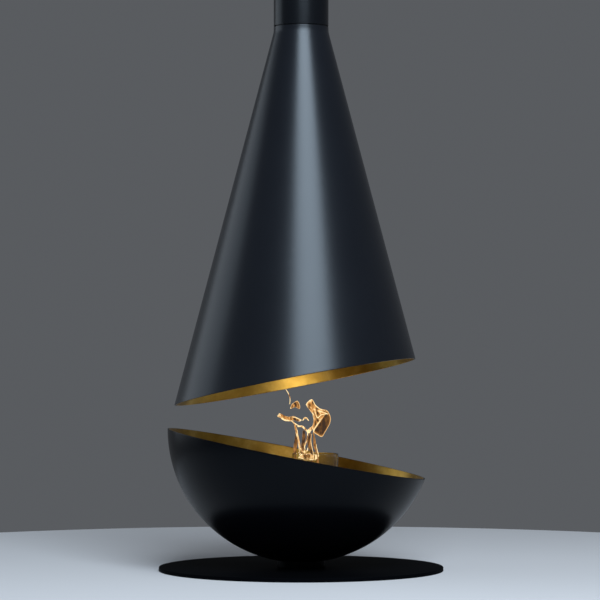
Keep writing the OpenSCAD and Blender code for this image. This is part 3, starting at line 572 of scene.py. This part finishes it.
# each strand: points (x, z) in millimetres, widths there, (depth at its start, depth at its end),
# twist in degrees at both ends, and how bright it is
strands = [
    ([(-42, 495), (-34, 482), (-30, 469), (-31, 453)], [1.6, 2.7, 2.7, 2.2], (4, 1), (20, 60), 0.8),
    ([(-31, 410), (-25, 407), (-19, 402), (-14, 387), (-10, 370), (-5, 350), (-1, 331), (8, 324), (16, 326)],
     [2.2, 2.7, 3.3, 5.5, 6.0, 4.9, 4.4, 3.8, 2.2], (0, 3), (0, 50), 0.9),
    ([(-14, 383), (-12, 367), (-15, 342), (-16, 311), (-9, 262)],
     [2.7, 8.2, 9.5, 6.6, 4.4], (10, 6), (-20, 30), 0.25),
    ([(-10, 393), (3, 393), (14, 383), (21, 378)], [2.7, 4.9, 4.9, 5.5], (2, 0), (0, 30), 1.3),
    ([(21, 378), (29, 386), (38, 400), (41, 415), (36, 430), (27, 441)],
     [6.0, 5.5, 4.9, 5.5, 6.6, 5.5], (0, 6), (-10, 40), 1.2),
    ([(8, 382), (8, 361), (5, 339), (3, 323), (4, 262)], [6.6, 9.3, 8.8, 7.1, 5.5], (10, 6), (30, -10), 0.25),
    ([(18, 375), (16, 356), (10, 338), (11, 327), (12, 262)],
     [2.2, 3.3, 2.7, 2.7, 3.3], (-4, -2), (0, 60), 0.85),
    ([(25, 375), (22, 356), (23, 339), (29, 317), (30, 262)],
     [3.8, 8.2, 8.8, 7.1, 4.9], (-10, -8), (20, -30), 0.3),
    ([(33, 376), (36, 356), (38, 339), (45, 313), (46, 262)],
     [2.7, 6.0, 7.7, 6.0, 3.8], (4, 10), (-30, 10), 0.3),
    ([(-7, 307), (3, 317), (12, 311), (22, 319), (29, 308), (38, 302), (48, 311)],
     [2.2, 3.8, 3.3, 4.4, 4.4, 4.9, 3.3], (-12, -6), (0, 0), 1.0),
    ([(4, 409), (10, 416), (15, 415), (21, 408)], [1.8, 3.9, 3.9, 1.8], (0, 2), (0, 0), 1.6),
    ([(13, 454), (21, 448), (32, 441), (42, 437), (54, 434), (66, 430), (74, 427)],
     [2.2, 3.0, 3.3, 3.3, 3.0, 2.7, 1.6], (-4, -4), (0, 20), 0.95),
    ([(32, 431), (34, 420), (36, 411), (35, 400), (31, 392), (24, 387), (20, 381)],
     [2.2, 3.0, 3.5, 3.5, 3.0, 3.0, 3.6], (-3, -3), (0, 20), 1.0),
    ([(53, 410), (46, 400), (38, 388), (34, 377)], [1.6, 2.5, 2.5, 2.2], (-6, -3), (0, 20), 0.95),
    ([(-54, 418), (-44, 411), (-31, 415), (-18, 418), (-3, 412)],
     [1.1, 1.9, 2.2, 2.2, 1.1], (-6, -7), (0, 0), 0.75),
    ([(-31, 411), (-24, 407), (-14, 399), (-1, 393)], [1.6, 2.2, 2.5, 1.6], (0, 2), (0, 10), 0.7),
    ([(-10, 383), (-8, 359), (-5, 331), (-2, 312)], [1.1, 1.9, 1.9, 1.1], (2, 0), (0, 60), 0.5),
    ([(29, 372), (27, 353), (31, 331), (36, 309)], [1.1, 1.9, 1.9, 1.1], (6, 4), (0, 60), 0.55),
    ([(8, 328), (11, 319), (19, 309), (27, 304)], [2.2, 3.3, 3.3, 2.2], (-8, -10), (0, 10), 0.95),
    ([(41, 345), (44, 328), (48, 313), (44, 304)], [1.1, 1.6, 2.2, 2.2], (0, -2), (0, 40), 0.8),
    ([(-60, 429), (-58, 424), (-53, 415), (-44, 410), (-32, 409)],
     [2.7, 3.6, 3.3, 3.0, 2.4], (-9, -8), (0, 10), 1.4),
    ([(32, 464), (40, 450), (52, 441), (66, 437)], [1.6, 2.2, 2.2, 1.4], (-9, -9), (0, 10), 0.7),
    ([(38, 432), (45, 417), (55, 425), (71, 428)], [1.6, 2.5, 2.2, 1.4], (-9, -9), (0, 10), 0.85),
    ([(-5, 309), (11, 304), (27, 301), (38, 303), (48, 311)],
     [2.2, 3.3, 2.7, 3.3, 2.2], (-14, -14), (0, 0), 1.0),
    ([(-2, 335), (2, 327), (10, 324), (17, 328), (18, 335)],
     [2.4, 3.3, 3.5, 3.0, 1.8], (-13, -13), (0, 0), 1.2),
]
# each veil: its closed outline (x, z) in millimetres, (depth of its middle, bulge), and how bright it is
veils = [
    ([(-23, 456), (-10, 463), (-3, 450), (-5, 441), (-16, 446), (-29, 441), (-27, 450)], (3, 6), 0.6),
    ([(-57, 428), (-51, 423), (-34, 419), (-21, 421), (-8, 416), (1, 411), (-5, 407), (-21, 410), (-31, 407),
      (-45, 408), (-54, 415), (-65, 421)], (-3, -5), 0.6),
    ([(29, 467), (38, 454), (52, 442), (70, 437), (66, 424), (53, 411), (38, 418), (31, 427), (23, 438),
      (14, 454)], (5, -8), 0.64),
    ([(70, 437), (79, 424), (81, 411), (77, 397), (66, 378), (57, 365), (44, 370), (33, 378), (40, 389),
      (52, 407), (63, 424)], (-2, 10), 0.12),
    ([(-5, 308), (3, 317), (22, 319), (38, 312), (47, 311), (38, 302), (22, 304), (5, 307)], (-10, -4), 0.6),
    ([(15, 380), (21, 385), (26, 381), (24, 375), (18, 374)], (-2, 1), 2.0),
    ([(33, 311), (41, 315), (47, 309), (42, 303), (35, 304)], (-16, 1), 1.8),
    ([(33, 430), (35, 420), (37, 411), (35, 400), (32, 392), (33, 381), (37, 386), (44, 398), (51, 409),
      (48, 418), (42, 424), (37, 431)], (3, -3), 0.68),
]


def flameMaterial(spec):
    # UV "flow": its first value is brightness, its second is 1 at a rim and 0 in the middle of a veil
    made, wire = newMaterial("flameGlow")
    uv = wire.node("ShaderNodeUVMap", {"uv_map": "flow"}, {})
    parts = wire.node("ShaderNodeSeparateXYZ", {}, {"Vector": uv}).socket.node
    bright, rim = Wire(wire.tree, parts.outputs[0]), Wire(wire.tree, parts.outputs[1])
    wisps = wire.noise(stretched(wire, objectPlace(wire), spec["wisps"]), 1.0, 3.0)
    edge = rim ** spec["rimPower"]
    heat = (edge * spec["rimGlow"] + bright * (wisps * spec["wispGain"] - spec["wispCut"])).clipped()
    alpha = (spec["density"] + heat).clipped()
    colour = heat.ramp([(0.05, spec["veil"]), (0.45, spec["warm"]), (0.9, spec["bright"])])
    return finishMaterial(made, wire, {
        "Base Color": (0.02, 0.01, 0.005, 1), "Emission Strength": spec["glow"],
        "Specular IOR Level": 0.0, "Roughness": 1.0}, {"Emission Color": colour, "Alpha": alpha})


def smoothed(values, count, closed=False):
    # values at even steps, carried through a Catmull-Rom curve to count steps
    values = np.array(values, float)
    if closed:
        padded = np.concatenate([values[-1:], values, values[:2]])
        place = np.linspace(0, len(values), count, endpoint=False)
    else:
        padded = np.concatenate([2 * values[:1] - values[1:2], values, 2 * values[-1:] - values[-2:-1]])
        place = np.linspace(0, len(values) - 1 - 1e-9, count)
    k = place.astype(int)
    t = (place - k)[:, None]
    a, b, c, d = padded[k], padded[k + 1], padded[k + 2], padded[k + 3]
    return 0.5 * (2 * b + (c - a) * t + (2 * a - 5 * b + 4 * c - d) * t ** 2 + (3 * b - a - 3 * c + d) * t ** 3)


def flamePiece(name, grid, flow, material, closed):
    # an open sheet over grid[i, j] with its UV "flow"; i closes on itself for a veil
    rows, over = grid.shape[:2]
    i = np.arange(rows if closed else rows - 1)[:, None]
    j = np.arange(over - 1)[None, :]
    after = (i + 1) % rows
    faces = (i * over + j, i * over + j + 1, after * over + j + 1, after * over + j)
    corners = np.stack(np.broadcast_arrays(*faces), -1).reshape(-1, 4)
    mesh = bpy.data.meshes.new(name)
    mesh.from_pydata(grid.reshape(-1, 3).tolist(), [], corners.tolist())
    layer = mesh.uv_layers.new(name="flow")
    layer.data.foreach_set("uv", flow.reshape(-1, 2)[corners.ravel()].astype(np.float32).ravel())
    work = bmesh.new()                             # closes a veil's middle, where its first ring is one point
    work.from_mesh(mesh)
    bmesh.ops.remove_doubles(work, verts=work.verts, dist=1e-6)
    work.to_mesh(mesh)
    work.free()
    mesh.polygons.foreach_set("use_smooth", np.ones(len(mesh.polygons), bool))
    mesh.materials.append(material)
    piece = bpy.data.objects.new(name, mesh)
    bpy.context.scene.collection.objects.link(piece)
    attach(piece, "bowl")


def folded(x, z, spec):
    # depth that folds the flame into an S seen from above and sways it with height, in millimetres:
    # foldDepth * sin((x - foldMiddle) / foldWidth) + swayDepth * sin(z / swayHeight)
    fold = spec["foldDepth"] * np.sin((x - spec["foldMiddle"]) / spec["foldWidth"])
    return fold + spec["swayDepth"] * np.sin(z / spec["swayHeight"])


def makeStrand(index, points, widths, depth, twist, bright, material):
    # a curled ribbon: its middle follows points, its width turns about that path, and across it, from
    # s = -1 to 1, the sheet is deeper by curl * (s * s - 1/2) of its half width
    count, over = ribbon["rowsPerPoint"] * len(points), ribbon["across"]
    middle = smoothed(points, count)
    deep = np.linspace(depth[0], depth[1], count) + folded(middle[:, 0], middle[:, 1], flame)
    middle = np.stack([middle[:, 0], deep, middle[:, 1]], -1) * mm
    half = np.maximum(smoothed(np.array(widths, float)[:, None], count), ribbon["narrowest"]) * mm / 2
    half[[0, -1]] *= ribbon["tips"]
    way = np.gradient(middle, axis=0)
    way /= np.linalg.norm(way, axis=1, keepdims=True)
    side = np.cross(way, np.array([0.0, 1.0, 0.0]))        # lies in the upright plane facing the camera
    side /= np.linalg.norm(side, axis=1, keepdims=True)
    back = np.cross(way, side)
    turn = np.radians(np.linspace(twist[0], twist[1], count))[:, None]
    wide = side * np.cos(turn) + back * np.sin(turn)
    inward = back * np.cos(turn) - side * np.sin(turn)
    s = np.linspace(-1, 1, over)[None, :, None]
    thin = np.clip((ribbon["rimsFrom"] - half * 2 / mm) / ribbon["fade"], 0, 1)
    rimGlow = (ribbon["rimLeast"] + ribbon["rimGain"] * bright) ** (1 / flame["rimPower"])
    rim = rimGlow * (np.abs(s[..., 0]) * (1 - thin) + thin)
    curled = inward[:, None] * half[:, None] * ribbon["curl"] * (s ** 2 - 0.5)
    grid = middle[:, None] + wide[:, None] * half[:, None] * s + curled
    flow = np.stack([np.full((count, over), bright), rim], -1)
    flamePiece(f"flame_strand_{index}", grid, flow, material, False)


def makeVeil(index, outline, place, bright, material):
    # a bulged sheet: rings that shrink from the outline to its middle, deeper by bulge * (1 - s * s)
    count, over = sheet["rowsPerPoint"] * len(outline), sheet["rings"]
    edge = smoothed(outline, count, True)
    centre = edge.mean(0)
    s = np.linspace(0, 1, over)[None, :, None]
    flat = centre + (edge[:, None] - centre) * s
    deep = place[0] + place[1] * (1 - s[..., 0] ** 2) + folded(flat[..., 0], flat[..., 1], flame)
    grid = np.stack([flat[..., 0], deep, flat[..., 1]], -1) * mm
    flow = np.stack([np.full((count, over), bright), s[..., 0] + np.zeros((count, 1))], -1)
    flamePiece(f"flame_veil_{index}", grid, flow, material, True)


studio = {
    "floorColour": (0.60, 0.625, 0.66, 1.0),
    "clouded": 0.97,                               # share of that colour in the floor's darker clouds
    "roomColour": (0.10, 0.106, 0.115, 1.0),       # the backdrop, and the light from all round
    "floorRadius": 1.75,
    "floorSides": 128,
}


def makeStage(spec):
    # a round matt floor, radius * (cos, sin) of even angles, and the room's own even light
    made, wire = newMaterial("studioFloor")
    place = objectPlace(wire)
    cloud = wire.noise(place, 1.5, 3.0)
    pale = spec["floorColour"]
    colour = cloud.blended(tuple(spec["clouded"] * c for c in pale[:3]) + (1,), pale)
    finishMaterial(made, wire, {"Roughness": 1.0, "Specular IOR Level": 0.0}, {"Base Color": colour})
    angle = np.linspace(0, 2 * np.pi, spec["floorSides"], endpoint=False)
    ring = np.stack([np.cos(angle), np.sin(angle), 0 * angle], -1) * spec["floorRadius"]
    mesh = bpy.data.meshes.new("studio_floor")
    mesh.from_pydata(ring.tolist(), [], [list(range(spec["floorSides"]))])
    mesh.materials.append(made)
    floor = bpy.data.objects.new("studio_floor", mesh)
    bpy.context.scene.collection.objects.link(floor)
    world = bpy.data.worlds.new("studioRoom")
    world.use_nodes = True
    world.node_tree.nodes.clear()
    wire = Wire(world.node_tree)
    light = wire.node("ShaderNodeBackground", {}, {"Color": spec["roomColour"], "Strength": 1.0})
    output = world.node_tree.nodes.new("ShaderNodeOutputWorld")
    world.node_tree.links.new(light.socket, output.inputs["Surface"])
    bpy.context.scene.world = world


placeCamera(viewPoint)
for lampName, lampSpec in lamps.items():
    placeLamp(lampName, *lampSpec)
placeGlow(fireGlow)
makeStage(studio)
print("studio ready")
makeHood(hood)
makeBowl(bowl)
makeFlue(flue)
makePlate(plate)
makeGuard(guard)
print("shells made")
bodyOf = {node: body for body, nodes in frame["record"]["behaviour"]["bodies"].items() for node in nodes}
for nodeName, (finish, slotName) in finishes.items():
    dressNode(nodeName, bodyOf[nodeName], materials[finish])
print("inner pieces dressed:", len(finishes))
glow = flameMaterial(flame)
for number, (points, widths, depth, twist, bright) in enumerate(strands):
    makeStrand(number, points, widths, depth, twist, bright, glow)
for number, (outline, place, bright) in enumerate(veils):
    makeVeil(number, outline, place, bright, glow)
print("flame made:", len(strands) + len(veils), "sheets")

bpy.context.scene.view_settings.view_transform = "Standard"
